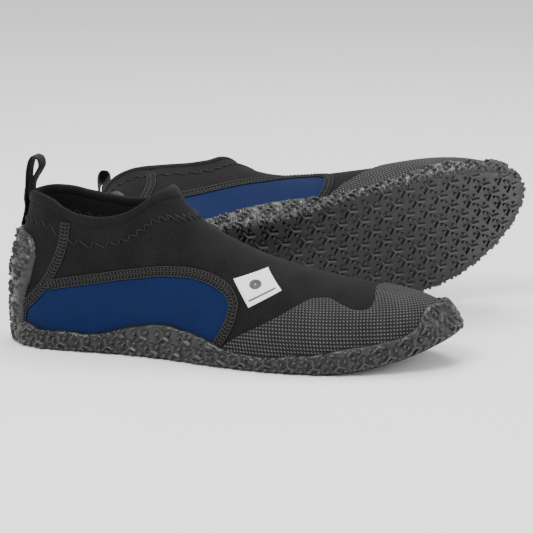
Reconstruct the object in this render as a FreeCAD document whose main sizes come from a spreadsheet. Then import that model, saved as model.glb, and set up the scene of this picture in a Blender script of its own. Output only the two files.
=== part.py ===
import FreeCAD, Part
import math
import os

# A pair of slip-on neoprene water shoes: the right shoe stands on its sole and the left shoe lies
# on its outer edge behind it, with its tread to the front. Every piece is made once in the frame of
# a right shoe (x from heel to toe, +y to the inner side of the foot, z up from the lug tips), then
# placed as the right shoe and mirrored as the left one.

os.makedirs("parts", exist_ok=True)
V = FreeCAD.Vector
doc = FreeCAD.newDocument("water_shoes")

# ---------------------------------------------------------------- driving dimensions
sheet = doc.addObject("Spreadsheet::Sheet", "sizes")
DIMENSIONS = [
    ("sole_length", 298), ("ball_width", 99), ("collar_height", 98),
    ("neoprene", 3), ("rubber_wall", 4), ("sole_base", 3.6), ("lug_height", 1.6),
    ("toe_spring", 21), ("lug_pitch", 15.5), ("lug_row", 10), ("lug_arm", 6.2), ("lug_width", 1.8),
    ("board", 1.5), ("footbed", 4), ("binding_width", 7), ("binding_cover", 1), ("hem_width", 16),
    ("hem_thickness", 1.2), ("seam_width", 5), ("seam_height", 0.9), ("toe_cap_thickness", 1.2),
    ("emblem_thickness", 0.6), ("tab_width", 12), ("webbing", 1.6), ("tab_length", 22),
    ("tab_depth", 9.5), ("tab_gap", 0.6), ("span", 160),
    ("right_yaw", -16.4), ("left_yaw", 9), ("left_pitch", -6.8), ("left_roll", -64),
    ("left_forward", 56), ("left_back", 27),
]
for row, (alias, value) in enumerate(DIMENSIONS, start=1):
    sheet.set(f"A{row}", alias)
    sheet.set(f"B{row}", str(value))
    sheet.setAlias(f"B{row}", alias)
doc.recompute()


def size(alias):
    return float(getattr(sheet, alias))


# The outlines below are drawn for a shoe of these three overall sizes and scaled from them.
SCALE_X = size("sole_length") / 298
SCALE_Y = size("ball_width") / 99
SCALE_Z = size("collar_height") / 98


# ---------------------------------------------------------------- smooth curves through a few points
def make_curve(points):
    """Monotone cubic curve through (x, value) points, held level beyond its ends."""
    xs = [p[0] for p in points]
    vs = [p[1] for p in points]
    steps = [(vs[i + 1] - vs[i]) / (xs[i + 1] - xs[i]) for i in range(len(xs) - 1)]
    slopes = [steps[0]]
    for before, after in zip(steps, steps[1:]):
        slopes.append(0.0 if before * after <= 0 else 2 * before * after / (before + after))
    slopes.append(steps[-1])

    def value(x):
        if x <= xs[0]:
            return vs[0]
        if x >= xs[-1]:
            return vs[-1]
        i = max(k for k in range(len(xs) - 1) if xs[k] <= x)
        width = xs[i + 1] - xs[i]
        u = (x - xs[i]) / width
        return ((1 + 2 * u) * (1 - u) ** 2 * vs[i] + u * (1 - u) ** 2 * width * slopes[i]
                + u * u * (3 - 2 * u) * vs[i + 1] + u * u * (u - 1) * width * slopes[i + 1])
    return value


# Plan view: half width and middle line of the sole.
plan_half = make_curve([(0, 34.5), (60, 34.5), (80, 33.8), (112, 35.2), (150, 42), (185, 48),
                        (215, 49.5), (245, 48), (275, 46), (298, 45)])
plan_middle = make_curve([(50, 0), (80, -0.5), (112, -2.4), (150, -4.2), (185, -3.4), (215, -0.5),
                          (245, 3), (275, 6.5), (298, 8.6)])
# Side view: back of the heel, instep line from the collar to the toe, top of the rubber wall.
heel_back = make_curve([(-10, 7.5), (0, 6), (10, 4.6), (30, 4), (50, 5), (68, 9), (85, 13.5), (98, 15.5),
                        (115, 16.5)])
INSTEP = [(97, 126), (106, 112.5), (115, 100), (120, 94), (128, 86.5), (140, 78.5), (155, 71), (175, 63),
          (200, 55.8), (225, 50.5), (245, 47.5), (262, 44.5), (275, 41), (285, 36), (291, 30), (293.5, 25),
          (294, 20), (293.5, 10), (292, -10)]
RIM = [(-12, 19), (12, 18), (21, 16), (30, 13.2), (60, 12.6), (74, 14), (95, 19.5), (107, 22), (118, 22.8),
       (130, 20.8), (142, 17.4), (154, 13.6), (170, 10.6), (185, 10), (200, 11), (220, 14), (240, 17.6),
       (256, 19.6), (266, 22), (276, 27), (285, 34), (294, 38), (306, 39)]
# Collar edge: outer side and inner side of the ankle.
collar_outer = make_curve([(12, 96), (24, 97.5), (36, 95), (46, 89.5), (57, 86), (68, 85), (78, 86.5),
                           (88, 90), (98, 96.5), (106, 102.5), (113, 104.5), (122, 104)])
collar_inner = make_curve([(12, 97), (24, 99), (36, 98), (46, 96), (57, 94.5), (68, 93), (78, 92),
                           (88, 92.5), (98, 96.5), (106, 102.5), (113, 104.5), (122, 104)])
# Panel outlines in side view.
HEEL_SEAM = [(49, 112), (48, 88), (46.5, 70), (43.5, 60), (39.5, 51.5), (34.5, 43), (26, 33), (18, 24.5),
             (15.5, 15), (15, -6)]
PANEL_SEAM = [(8, 34.5), (38.5, 42), (72, 48.5), (94, 52.6), (117, 55.8), (130, 56), (141, 54.6),
              (151, 51.4), (159.5, 46.2), (163.6, 39), (162.6, 32), (159, 23), (153, 13.7), (147, -6)]
TOE_CAP_EDGE = [(146, -6), (155, 10.7), (168, 21), (181, 28), (194, 35), (206, 42), (213, 44.6), (219, 44.6),
                (230, 41), (238, 38.4), (243, 38), (247, 40), (247.6, 43), (245, 47), (242, 51), (240, 68)]
EMBLEM_CORNERS = [(161, 54), (179, 59.5), (192, 48.5), (173.5, 38.5)]
HEEL_PATCH = [(0, 74), (20, 71.5), (27, 65), (30, 56), (29.5, 46), (26, 34), (24, 22), (25, 8)]
TAB_CLEARANCE = 0.4  # between the top of the heel patch and the foot of the pull-tab strap
HEEL_ROUND = 34
TOE_ROUND = 74
TOE_ROUND_TOP = 22
ROUND_START = 12
TOP_POWER = 2.4
ANKLE_HALF = 32
LEVELS = [-4, 4, 12, 19, 25, 31, 36, 40, 43.5, 47, 51, 56, 62, 69, 77, 86, 96, 106, 116]
CONTOUR_POINTS = 24
SOLE_KNEES = [-14, 212, 238, 258, 275, 290, 308]
LUG_ROOT = 0.5
LUG_ROWS_EACH_SIDE = 5


def spring(x):
    """Height of the sole's underside above the floor: flat to the ball, rising to the toe in facets."""
    heights = [size("toe_spring") * max(0.0, (knee - 212) / 86) ** 2.2 for knee in SOLE_KNEES]
    for left, right, low, high in zip(SOLE_KNEES, SOLE_KNEES[1:], heights, heights[1:]):
        if x <= right:
            return low + (high - low) * (x - left) / (right - left)
    return heights[-1]


def offset_line(points, distance):
    """Points moved sideways, to the left of their direction of travel."""
    moved = []
    for i, (x, z) in enumerate(points):
        x0, z0 = points[max(i - 1, 0)]
        x1, z1 = points[min(i + 1, len(points) - 1)]
        length = math.hypot(x1 - x0, z1 - z0)
        moved.append((x - distance * (z1 - z0) / length, z + distance * (x1 - x0) / length))
    return moved


# ---------------------------------------------------------------- foot form, moved in by `inset`
def make_form(name, inset):
    """Solid of the shoe's form through level contours; a negative inset grows it."""
    instep = offset_line(INSTEP, -inset)
    falling = sorted((z, x) for x, z in instep)
    front_at = make_curve(falling)
    top_at = make_curve([(x, z) for x, z in instep if z >= TOE_ROUND_TOP])
    toe_end = max(x for x, z in instep)

    def half_width(x, z, back, front):
        heel = max(0.0, min(1.0, (x - back) / HEEL_ROUND))
        toe = max(0.0, min(1.0, (toe_end - x) / TOE_ROUND))
        rise = max(0.0, min(1.0, (z - ROUND_START) / (max(top_at(x), z) - ROUND_START + 1e-6)))
        roundness = 1 - rise ** TOP_POWER
        if front >= toe_end - 1e-6:
            roundness = max(roundness, 1e-6)
        plan = plan_half(x) - 4 - inset
        return plan * math.sqrt(1 - (1 - heel) ** 2) * math.sqrt(1 - (1 - toe) ** 2) * math.sqrt(roundness)

    sections = []
    for z in LEVELS:
        back = heel_back(z) + inset
        front = front_at(z)
        points = []
        for i in range(2 * CONTOUR_POINTS):
            turn = math.pi * i / CONTOUR_POINTS
            x = back + (front - back) * (1 - math.cos(turn)) / 2
            side = -1 if turn < math.pi else 1
            near_end = i in (0, CONTOUR_POINTS)
            y = plan_middle(x) + (0 if near_end else side * half_width(x, z, back, front))
            points.append(V(x * SCALE_X, y * SCALE_Y, z * SCALE_Z))
        curve = Part.BSplineCurve()
        marks = [float(i) for i in range(2 * CONTOUR_POINTS + 1)]
        curve.interpolate(Points=points, PeriodicFlag=True, Parameters=marks)
        sections.append(Part.Wire([curve.toShape()]))
    form = doc.addObject("Part::Feature", name)
    form.Shape = Part.makeLoft(sections, True, False)
    return form


# ---------------------------------------------------------------- document objects
def combine(kind, name, pieces):
    """Part::MultiCommon or Part::MultiFuse of several objects."""
    result = doc.addObject(kind, name)
    result.Shapes = pieces
    return result


def common(name, *pieces):
    return combine("Part::MultiCommon", name, list(pieces))


def fuse(name, *pieces):
    return combine("Part::MultiFuse", name, list(pieces))


def cut(name, base, *tools):
    """Base with each tool taken away in turn."""
    for number, tool in enumerate(tools, start=1):
        last = number == len(tools)
        result = doc.addObject("Part::Cut", name if last else f"{name}_step{number}")
        result.Base = base
        result.Tool = tool
        base = result
    return base


def smooth_edge(points):
    curve = Part.BSplineCurve()
    curve.interpolate([V(x * SCALE_X, z * SCALE_Z, 0) for x, z in points])
    return curve


def straight(start, end):
    return Part.LineSegment(V(start[0] * SCALE_X, start[1] * SCALE_Z, 0),
                            V(end[0] * SCALE_X, end[1] * SCALE_Z, 0))


def side_sketch(name, runs, faceted=()):
    """Sketch in the side view: smooth or faceted runs, each joined to the next by a straight line."""
    sketch = doc.addObject("Sketcher::SketchObject", name)
    sketch.Placement = FreeCAD.Placement(V(0, 0, 0), FreeCAD.Rotation(V(1, 0, 0), 90))
    for number, run in enumerate(runs):
        if len(run) > 2 and run not in faceted:
            sketch.addGeometry(smooth_edge(run), False)
        else:
            for start, end in zip(run, run[1:]):
                sketch.addGeometry(straight(start, end), False)
        following = runs[(number + 1) % len(runs)]
        if run[-1] != following[0]:
            sketch.addGeometry(straight(run[-1], following[0]), False)
    return sketch


def side_prism(name, runs, side="both", faceted=()):
    """Side-view outline taken right across the shoe, or across one half of it."""
    prism = doc.addObject("Part::Extrusion", name)
    prism.Base = side_sketch(name + "_outline", runs, faceted)
    prism.DirMode = "Custom"
    prism.Dir = V(0, 1, 0)
    prism.Solid = True
    if side in ("both", "outer"):
        prism.setExpression("LengthRev", "sizes.span / 2")
    if side in ("both", "inner"):
        prism.setExpression("LengthFwd", "sizes.span / 2")
    return prism


def below_collar(name, drop):
    """Everything under the collar edge lowered by `drop`: the edge tilts from outer to inner side."""
    reach = size("span") / 2
    stations = [-12, 12, 24, 36, 46, 57, 68, 78, 88, 98, 106, 113, 122]
    profiles = []
    for side in (-1, 1):
        edge = []
        for x in stations:
            middle = (collar_outer(x) + collar_inner(x)) / 2
            tilt = (collar_inner(x) - collar_outer(x)) / 2 * side * reach / (ANKLE_HALF * SCALE_Y)
            edge.append((x, middle + tilt - drop / SCALE_Z))
        corners = [(340, edge[-1][1]), (340, -20), (-12, -20)]
        runs = [edge, [edge[-1], corners[0]], [corners[0], corners[1]], [corners[1], corners[2]]]
        profile = side_sketch(f"{name}_{'inner' if side > 0 else 'outer'}", runs)
        profile.Placement.Base = V(0, side * reach, 0)
        profiles.append(profile)
    region = doc.addObject("Part::Loft", name)
    region.Sections = profiles
    region.Solid = True
    region.Ruled = True
    return region


def seam_prism(name, line, side):
    """Band of the seam's width that follows a side-view line."""
    half = size("seam_width") / 2
    return side_prism(name, [offset_line(line, half), offset_line(line, -half)[::-1]], side)


# ---------------------------------------------------------------- forms and side-view regions
OVERLAY = size("seam_height")
form_upper = make_form("form_upper", 0)
form_lining = make_form("form_lining", size("neoprene"))
form_rubber = make_form("form_rubber", -size("rubber_wall"))
form_seam = make_form("form_seam", -OVERLAY)
form_toe_cap = make_form("form_toe_cap", -size("toe_cap_thickness"))
form_emblem = make_form("form_emblem", -size("emblem_thickness"))
form_binding = make_form("form_binding", -size("binding_cover"))
form_binding_inner = make_form("form_binding_inner", size("neoprene") + size("hem_thickness"))
form_tab = make_form("form_tab", -size("binding_cover") - size("webbing"))

base_bottom = [(x, spring(x) + size("lug_height")) for x in SOLE_KNEES]
base_top = [(x, z + size("sole_base")) for x, z in base_bottom]
board_top = [(x, z + size("board")) for x, z in base_top]
footbed_top = [(x, z + size("footbed")) for x, z in board_top]


def layer_prism(name, lower, upper):
    return side_prism(name, [lower, upper[::-1]], "both", [lower, upper[::-1]])


board_layer = layer_prism("board_layer", base_top, board_top)
footbed_layer = layer_prism("footbed_layer", board_top, footbed_top)
wall_region = side_prism("wall_region", [base_bottom, RIM[::-1]], "both", [base_bottom])
above_base = side_prism("above_base", [base_top, [(308, 130), (-14, 130)]], "both", [base_top])
above_rim = side_prism("above_rim", [RIM, [(306, 130), (-12, 130)]])
heel_region = side_prism("heel_region", [HEEL_SEAM, [(-30, -6), (-30, 112)]])
panel_region = side_prism("panel_region", [PANEL_SEAM, [(147, -6), (8, -6)]])
toe_region = side_prism("toe_region", [TOE_CAP_EDGE, [(320, 68), (320, -6)]])
under_collar = below_collar("under_collar", 0)
under_binding = below_collar("under_binding", size("binding_width"))
under_hem = below_collar("under_hem", size("binding_width") + size("hem_width"))
collar_cap = below_collar("collar_cap", -size("binding_cover"))
outer_half = doc.addObject("Part::Box", "outer_half")
outer_half.setExpression("Length", "sizes.sole_length * 1.3")
outer_half.setExpression("Width", "sizes.span / 2")
outer_half.setExpression("Height", "sizes.collar_height * 1.6")
outer_half.setExpression("Placement.Base.y", "-sizes.span / 2")
outer_half.Placement.Base.x = -30
outer_half.Placement.Base.z = -20


# ---------------------------------------------------------------- rubber outsole with its wall and heel patch
def heel_patch_prism():
    """Rounded patch of rubber up the back of the heel, drawn in the rear view."""
    right = [(y, z) for y, z in HEEL_PATCH]
    left = [(-y, z) for y, z in HEEL_PATCH[:0:-1]]
    sketch = doc.addObject("Sketcher::SketchObject", "heel_patch_outline")
    curve = Part.BSplineCurve()
    curve.interpolate([V(y * SCALE_Y, z * SCALE_Z, 0) for y, z in left + right])
    sketch.addGeometry(curve, False)
    sketch.addGeometry(Part.LineSegment(curve.EndPoint, curve.StartPoint), False)
    rear_view = FreeCAD.Rotation(V(0, 1, 0), V(0, 0, 1), V(1, 0, 0), "XYZ")
    sketch.Placement = FreeCAD.Placement(V(-20, 0, 0), rear_view)
    prism = doc.addObject("Part::Extrusion", "heel_patch_region")
    prism.Base = sketch
    prism.DirMode = "Custom"
    prism.Dir = V(1, 0, 0)
    prism.LengthFwd = 20 + 32 * SCALE_X
    prism.Solid = True
    return prism


def y_lug(x, y):
    """Three-armed lug, standing on the underside of the sole and leaning with its slope."""
    arm = size("lug_arm")
    half = size("lug_width") / 2
    corners = []
    for branch in range(3):
        angle = math.radians(120 * branch)
        along = V(math.cos(angle), math.sin(angle), 0)
        across = V(-along.y, along.x, 0)
        fork = angle + math.radians(60)
        corners.append(along * arm - across * half)
        corners.append(along * arm + across * half)
        corners.append(V(math.cos(fork), math.sin(fork), 0) * (2 * half / math.sqrt(3)))
    corners.append(corners[0])
    lug = Part.Face(Part.makePolygon(corners)).extrude(V(0, 0, size("lug_height") + LUG_ROOT))
    u = x / SCALE_X
    slope = math.degrees(math.atan2(spring(u + 1) - spring(u - 1), 2 * SCALE_X))
    lug.Placement = FreeCAD.Placement(V(x, y, spring(u) * SCALE_Z), FreeCAD.Rotation(V(0, 1, 0), -slope))
    return lug


def lug_field():
    """Staggered rows of lugs within the outline of the sole."""
    pitch = size("lug_pitch")
    margin = size("lug_arm") + 1
    outline_end = size("sole_length") - margin
    rows = range(-LUG_ROWS_EACH_SIDE, LUG_ROWS_EACH_SIDE + 1)
    lugs = []
    for row in rows:
        y = row * size("lug_row")
        for column in range(int(outline_end / pitch) + 1):
            x = margin + pitch * (column + 0.5 * (row % 2))
            u = x / SCALE_X
            heel = min(1.0, u / HEEL_ROUND)
            toe = max(0.0, min(1.0, (298 - u) / TOE_ROUND))
            reach = plan_half(u) * math.sqrt(1 - (1 - heel) ** 2) * math.sqrt(1 - (1 - toe) ** 2)
            if x < outline_end and abs(y / SCALE_Y - plan_middle(u)) < reach - margin:
                lugs.append(y_lug(x, y))
    field = doc.addObject("Part::Feature", "lug_field")
    field.Shape = Part.makeCompound(lugs)
    return field


def make_outsole():
    """Rubber cup: a flat base with a low wall that rises as a patch behind the heel."""
    outside = fuse("rubber_region", wall_region, heel_patch_prism(), lug_field())
    block = common("rubber_block", form_rubber, outside)
    hollow = common("rubber_hollow", form_upper, above_base)
    return cut("rubber_cup", block, hollow)


# ---------------------------------------------------------------- neoprene upper, its seams and trims
def make_upper(rubber):
    """The sewn pieces of the upper by name."""
    hollow = cut("upper_hollow", form_upper, form_lining)
    skin = common("upper_skin", hollow, above_base, under_collar)
    collar_core = common("collar_core", hollow, cut("collar_core_band", under_collar, under_hem))
    panel_area = cut("panel_area", panel_region, heel_region)
    panels = common("side_panels", skin, panel_area)
    seam_skin = common("seam_skin", cut("seam_hollow", form_seam, form_upper), under_binding, above_rim)
    heel_band = seam_prism("heel_band", HEEL_SEAM, "both")
    panel_band = cut("panel_band", seam_prism("panel_band_full", PANEL_SEAM, "both"), heel_region, heel_band)
    heel_seams = cut("heel_seams", common("heel_seam_strips", seam_skin, heel_band), rubber)
    panel_seams = cut("panel_seams", common("panel_seam_strips", seam_skin, panel_band), rubber)
    cap_skin = cut("toe_cap_skin", form_toe_cap, form_upper)
    cap = common("toe_cap_full", cap_skin, toe_region, above_rim)
    binding_band = cut("binding_band", collar_cap, under_binding)
    binding_body = common("binding_body", cut("binding_hollow", form_binding, form_binding_inner), binding_band)
    hem_band = cut("hem_band", under_binding, under_hem)
    hem_skin = cut("hem_skin", form_lining, form_binding_inner)
    emblem_area = side_prism("emblem_area", [EMBLEM_CORNERS[i:i + 2] for i in range(3)], "outer")
    emblem_skin = cut("emblem_skin", form_emblem, form_upper)
    pieces = {
        "heel_panel": common("heel_panel", skin, heel_region),
        "vamp_panel": cut("vamp_panel", skin, heel_region, panel_area),
        "side_panel_lateral": common("side_panel_lateral", panels, outer_half),
        "side_panel_medial": cut("side_panel_medial", panels, outer_half),
        "panel_seam_lateral": common("panel_seam_lateral", panel_seams, outer_half),
        "panel_seam_medial": cut("panel_seam_medial", panel_seams, outer_half),
        "heel_seam_lateral": common("heel_seam_lateral", heel_seams, outer_half),
        "heel_seam_medial": cut("heel_seam_medial", heel_seams, outer_half),
        "toe_cap": cut("toe_cap", cap, rubber, panel_band),
        "collar_binding": cut("collar_binding", binding_body, collar_core),
        "collar_hem": common("collar_hem", hem_skin, hem_band),
        "emblem_patch": common("emblem_patch", emblem_skin, emblem_area),
    }
    return pieces


def make_inside():
    """Strobel board and foam footbed inside the upper."""
    return {
        "insole_board": common("insole_board", form_lining, board_layer),
        "footbed": common("footbed", form_lining, footbed_layer),
    }


# ---------------------------------------------------------------- webbing pull tab
def make_tab_base():
    """Webbing sewn down the back of the heel, from the binding to just above the heel patch."""
    foot = HEEL_PATCH[0][1] * SCALE_Z + TAB_CLEARANCE
    strip = doc.addObject("Part::Box", "tab_strip")
    strip.setExpression("Length", "30 mm")
    strip.setExpression("Width", "sizes.tab_width")
    strip.Height = size("collar_height") - foot
    strip.setExpression("Placement.Base.y", "-sizes.tab_width / 2")
    strip.Placement.Base.x = -5
    strip.Placement.Base.z = foot
    tab_skin = cut("tab_skin", form_tab, form_binding)
    return common("pull_tab_base", tab_skin, strip, collar_cap)


def make_tab_loop():
    """Standing loop of webbing: a racetrack band that turns about the middle of its lower round."""
    body = doc.addObject("PartDesign::Body", "pull_tab_loop")
    plane = next(f for f in body.Origin.OriginFeatures if f.Role == "XZ_Plane")
    outer = size("tab_depth") / 2
    inner = outer - size("webbing")
    rise = size("tab_length") - 2 * outer
    sketch = body.newObject("Sketcher::SketchObject", "tab_loop_outline")
    sketch.AttachmentSupport = (plane, [""])
    sketch.MapMode = "FlatFace"
    for radius in (outer, inner):
        low = Part.Circle(V(0, 0, 0), V(0, 0, 1), radius)
        high = Part.Circle(V(0, rise, 0), V(0, 0, 1), radius)
        sketch.addGeometry(Part.ArcOfCircle(low, math.pi, 2 * math.pi), False)
        sketch.addGeometry(Part.ArcOfCircle(high, 0, math.pi), False)
        sketch.addGeometry(Part.LineSegment(V(radius, 0, 0), V(radius, rise, 0)), False)
        sketch.addGeometry(Part.LineSegment(V(-radius, 0, 0), V(-radius, rise, 0)), False)
    pad = body.newObject("PartDesign::Pad", "tab_loop_width")
    pad.Profile = sketch
    pad.setExpression("Length", "sizes.tab_width")
    pad.SideType = "Symmetric"
    top = collar_outer(18) * SCALE_Z + size("binding_cover")
    body.Placement.Base = V((heel_back(98) + 1) * SCALE_X, 0, top + outer + size("tab_gap"))
    return body


# ---------------------------------------------------------------- both shoes
rubber_cup = make_outsole()
shoe = {"outsole": rubber_cup}
shoe.update(make_inside())
shoe.update(make_upper(rubber_cup))
shoe["pull_tab_base"] = make_tab_base()
shoe["pull_tab_loop"] = make_tab_loop()
doc.recompute()

right_turn = FreeCAD.Rotation(size("right_yaw"), 0, 0)
left_turn = FreeCAD.Rotation(size("left_yaw"), size("left_pitch"), size("left_roll"))
left_sample = rubber_cup.Shape.mirror(V(0, 0, 0), V(0, 1, 0))
left_sample.Placement = FreeCAD.Placement(V(0, 0, 0), left_turn)
left_lift = -left_sample.optimalBoundingBox(False).ZMin
right_place = FreeCAD.Placement(V(0, 0, 0), right_turn)
left_place = FreeCAD.Placement(V(size("left_forward"), size("left_back"), left_lift), left_turn)

placed = []
for node, piece in shoe.items():
    right = doc.addObject("Part::Refine", "right_" + node)
    right.Source = piece
    right.Placement = right_place
    left = doc.addObject("Part::Mirroring", "left_" + node)
    left.Source = piece
    left.Normal = V(0, 1, 0)
    left.Placement = left_place
    placed += [right, left]
doc.recompute()

# The origin is the middle of the pair's box, on the floor.
pair_box = FreeCAD.BoundBox()
for item in placed:
    pair_box.add(item.Shape.optimalBoundingBox(False))
shift = V(-pair_box.Center.x, -pair_box.Center.y, -pair_box.ZMin)
for item in placed:
    item.Placement.Base = item.Placement.Base + shift
    item.Label = item.Name
doc.recompute()

# ---------------------------------------------------------------- check and write
for item in doc.Objects:
    if "Invalid" in item.State or "Error" in item.State:
        raise RuntimeError(f"{item.Name} failed: {item.State}")
for item in placed:
    shape = item.Shape
    if shape.isNull() or not shape.isValid() or not shape.Solids:
        raise RuntimeError(f"{item.Name} has no valid solid")
    shape.exportStep(f"parts/{item.Label}.step")
    print(item.Label, len(shape.Solids), "solids", round(shape.Volume), "mm3")
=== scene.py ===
import math

import bpy
import numpy as np
from mathutils import Euler, Matrix, Vector


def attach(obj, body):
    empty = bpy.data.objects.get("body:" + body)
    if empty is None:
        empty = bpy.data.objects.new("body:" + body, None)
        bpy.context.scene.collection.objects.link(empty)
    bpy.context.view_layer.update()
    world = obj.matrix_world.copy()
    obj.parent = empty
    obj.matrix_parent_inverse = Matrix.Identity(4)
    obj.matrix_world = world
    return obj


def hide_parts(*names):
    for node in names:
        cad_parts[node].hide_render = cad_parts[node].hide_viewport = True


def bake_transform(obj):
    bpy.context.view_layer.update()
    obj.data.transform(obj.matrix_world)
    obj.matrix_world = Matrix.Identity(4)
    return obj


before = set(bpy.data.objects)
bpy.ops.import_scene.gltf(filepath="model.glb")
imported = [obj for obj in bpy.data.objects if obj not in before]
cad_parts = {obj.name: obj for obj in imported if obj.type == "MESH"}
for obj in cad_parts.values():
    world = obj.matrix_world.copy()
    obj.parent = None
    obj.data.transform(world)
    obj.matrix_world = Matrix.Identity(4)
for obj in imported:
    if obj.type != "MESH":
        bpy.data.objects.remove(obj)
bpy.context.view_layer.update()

# The pair of water shoes. Every soft or moulded piece is drawn in the frame of a right shoe, in
# millimetres (x heel to toe, +y to the inner side, z up from the floor), then set down as the
# standing right shoe and, mirrored, as the left shoe on its side.
MM = 0.001


# ---------------------------------------------------------------- the form of the shoe
def make_curve(points):
    """Monotone cubic curve through (x, value) points, held level beyond its ends."""
    xs = np.array([p[0] for p in points], float)
    vs = np.array([p[1] for p in points], float)
    steps = np.diff(vs) / np.diff(xs)
    product = steps[:-1] * steps[1:]
    total = np.where(product > 0, steps[:-1] + steps[1:], 1.0)
    slopes = np.concatenate([steps[:1], np.where(product > 0, 2 * product / total, 0.0), steps[-1:]])

    def value(x):
        x = np.clip(np.asarray(x, float), xs[0], xs[-1])
        i = np.clip(np.searchsorted(xs, x, side="right") - 1, 0, len(xs) - 2)
        width = xs[i + 1] - xs[i]
        u = (x - xs[i]) / width
        return ((1 + 2 * u) * (1 - u) ** 2 * vs[i] + u * (1 - u) ** 2 * width * slopes[i]
                + u * u * (3 - 2 * u) * vs[i + 1] + u * u * (u - 1) * width * slopes[i + 1])
    return value


plan_half = make_curve([(0, 34.5), (60, 34.5), (80, 33.8), (112, 35.2), (150, 42), (185, 48),
                        (215, 49.5), (245, 48), (275, 46), (298, 45)])
plan_middle = make_curve([(50, 0), (80, -0.5), (112, -2.4), (150, -4.2), (185, -3.4), (215, -0.5),
                          (245, 3), (275, 6.5), (298, 8.6)])
heel_back = make_curve([(-10, 7.5), (0, 6), (10, 4.6), (30, 4), (50, 5), (68, 9), (85, 13.5), (98, 15.5),
                        (115, 16.5)])
INSTEP = [(97, 126), (106, 112.5), (115, 100), (120, 94), (128, 86.5), (140, 78.5), (155, 71), (175, 63),
          (200, 55.8), (225, 50.5), (245, 47.5), (262, 44.5), (275, 41), (285, 36), (291, 30), (293.5, 25),
          (294, 20), (293.5, 10), (292, -10)]
RIM = [(-12, 19), (12, 18), (21, 16), (30, 13.2), (60, 12.6), (74, 14), (95, 19.5), (107, 22), (118, 22.8),
       (130, 20.8), (142, 17.4), (154, 13.6), (170, 10.6), (185, 10), (200, 11), (220, 14), (240, 17.6),
       (256, 19.6), (266, 22), (276, 27), (285, 34), (294, 38), (306, 39)]
rim_height = make_curve(RIM)
instep_at = make_curve([(x, z) for x, z in INSTEP if z >= 20])
toe_front = make_curve(sorted((z, x) for x, z in INSTEP))
FRONT_X = np.linspace(97, 294, 3000)
FRONT_Z = instep_at(FRONT_X)


def front_at(z):
    """Foremost x of the upper at each level: the instep line read the other way round."""
    z = np.asarray(z, float)
    return np.where(z >= FRONT_Z[-1], np.interp(z, FRONT_Z[::-1], FRONT_X[::-1]), toe_front(z))


collar_outer = make_curve([(12, 96), (24, 97.5), (36, 95), (46, 89.5), (57, 86), (68, 85), (78, 86.5),
                           (88, 90), (98, 96.5), (106, 102.5), (113, 104.5), (122, 104)])
collar_inner = make_curve([(12, 97), (24, 99), (36, 98), (46, 96), (57, 94.5), (68, 93), (78, 92),
                           (88, 92.5), (98, 96.5), (106, 102.5), (113, 104.5), (122, 104)])
HEEL_SEAM = [(49, 112), (48, 88), (46.5, 70), (43.5, 60), (39.5, 51.5), (34.5, 43), (26, 33), (18, 24.5),
             (15.5, 15), (15, -6)]
PANEL_SEAM = [(8, 34.5), (38.5, 42), (72, 48.5), (94, 52.6), (117, 55.8), (130, 56), (141, 54.6),
              (151, 51.4), (159.5, 46.2), (163.6, 39), (162.6, 32), (159, 23), (153, 13.7), (147, -6)]
TOE_CAP_EDGE = [(146, -6), (155, 10.7), (168, 21), (181, 28), (194, 35), (206, 42), (213, 44.6), (219, 44.6),
                (230, 41), (238, 38.4), (243, 38), (247, 40), (247.6, 43), (245, 47), (242, 51), (240, 68)]
EMBLEM_CORNERS = [(161, 54), (179, 59.5), (192, 48.5), (173.5, 38.5)]
HEEL_PATCH = [(0, 74), (20, 71.5), (27, 65), (30, 56), (29.5, 46), (26, 34), (24, 22), (25, 8)]
EDGE, HEEL_ROUND, TOE_ROUND, TOE_END = 4.0, 34.0, 74.0, 294.0
INSIDE_FLOOR = 8.0  # the lining starts this far above the underside of the sole
ROUND_START, TOP_POWER, ANKLE_HALF = 12.0, 2.4, 32.0
TOE_SPRING, LUG_HEIGHT, RUBBER, NEOPRENE = 21.0, 1.6, 4.0, 3.1


def spring(x):
    """Height of the sole's underside: flat to the ball, rising to the toe."""
    return TOE_SPRING * np.clip((np.asarray(x, float) - 212) / 86, 0, 1.1) ** 2.2


def base_skin(theta, z):
    """Outer face of the upper: theta runs round from the heel, outer side first."""
    theta, z = np.broadcast_arrays(np.asarray(theta, float), np.asarray(z, float))
    back = heel_back(z)
    front = front_at(z)
    x = back + (front - back) * (1 - np.cos(theta)) / 2
    heel = np.clip((x - back) / HEEL_ROUND, 0, 1)
    toe = np.clip((TOE_END - x) / TOE_ROUND, 0, 1)
    top = np.maximum(instep_at(x), z)
    rise = np.clip((z - ROUND_START) / (top - ROUND_START + 1e-6), 0, 1)
    roundness = np.clip(1 - rise ** TOP_POWER, 0, 1)
    half = (plan_half(x) - EDGE) * np.sqrt(1 - (1 - heel) ** 2) * np.sqrt(1 - (1 - toe) ** 2)
    half = half * np.sqrt(roundness)
    side = np.where(np.mod(theta, 2 * math.pi) < math.pi, -1.0, 1.0)
    return np.stack([x, plan_middle(x) + side * half, z], axis=-1)


def skin(theta, z, out=0.0):
    """Point on the upper moved outwards by `out` along the surface's normal."""
    step = 0.01
    base = base_skin(theta, z)
    along = base_skin(theta + step, z) - base_skin(theta - step, z)
    up = base_skin(theta, z + 0.25) - base_skin(theta, z - 0.25)
    normal = np.cross(along, up)
    length = np.linalg.norm(normal, axis=-1, keepdims=True)
    normal = normal / np.maximum(length, 1e-9)
    return base + normal * np.asarray(out, float)[..., None]


def theta_of(x, z, side):
    """Angle of the point seen at (x, z) from the outer side (-1) or the inner side (+1)."""
    back = heel_back(z)
    front = front_at(z)
    angle = np.arccos(np.clip(1 - 2 * (np.asarray(x, float) - back) / (front - back), -1, 1))
    return angle if side < 0 else 2 * math.pi - angle


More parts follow.
